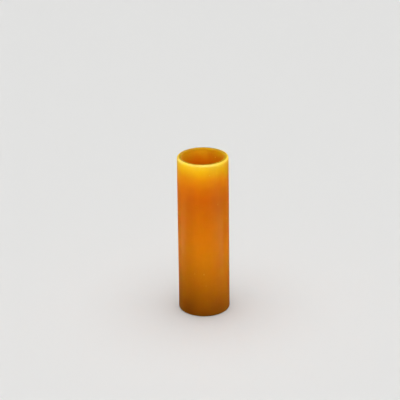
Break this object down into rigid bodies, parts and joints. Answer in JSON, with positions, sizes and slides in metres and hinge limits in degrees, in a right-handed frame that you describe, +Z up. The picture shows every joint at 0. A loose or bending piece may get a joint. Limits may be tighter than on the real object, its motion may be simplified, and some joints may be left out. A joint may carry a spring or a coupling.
{
  "type": "golf tee",
  "caption": "Open tube of moulded polyurethane that holds a golf ball above a driving-range mat. Its waist bends over when a club strikes it, then springs upright.",
  "frame": {"origin": "centre of the foot's lower face, on the tube's axis", "axes": "+Z up the tube's axis from the foot to the lip. +Y runs away from the front, +X is to the right. The modelled bend is about Y, so the lip leans along X."},
  "size_m": [0.0188, 0.0188, 0.06],
  "materials": {
    "polyurethane": "satin, slightly translucent orange"
  },
  "bodies": {
    "foot": {"foot": "polyurethane", "waist": "polyurethane"},
    "lip": {"lip": "polyurethane"}
  },
  "joints": [
    {"name": "flex", "type": "hinge", "parent": "foot", "child": "lip", "pos_m": [0, 0, 0.029], "axis": [0, 1, 0], "range_deg": [-45, 45], "stiffness_Nm_per_rad": 1.5, "deforming": ["waist"]}
  ]
}
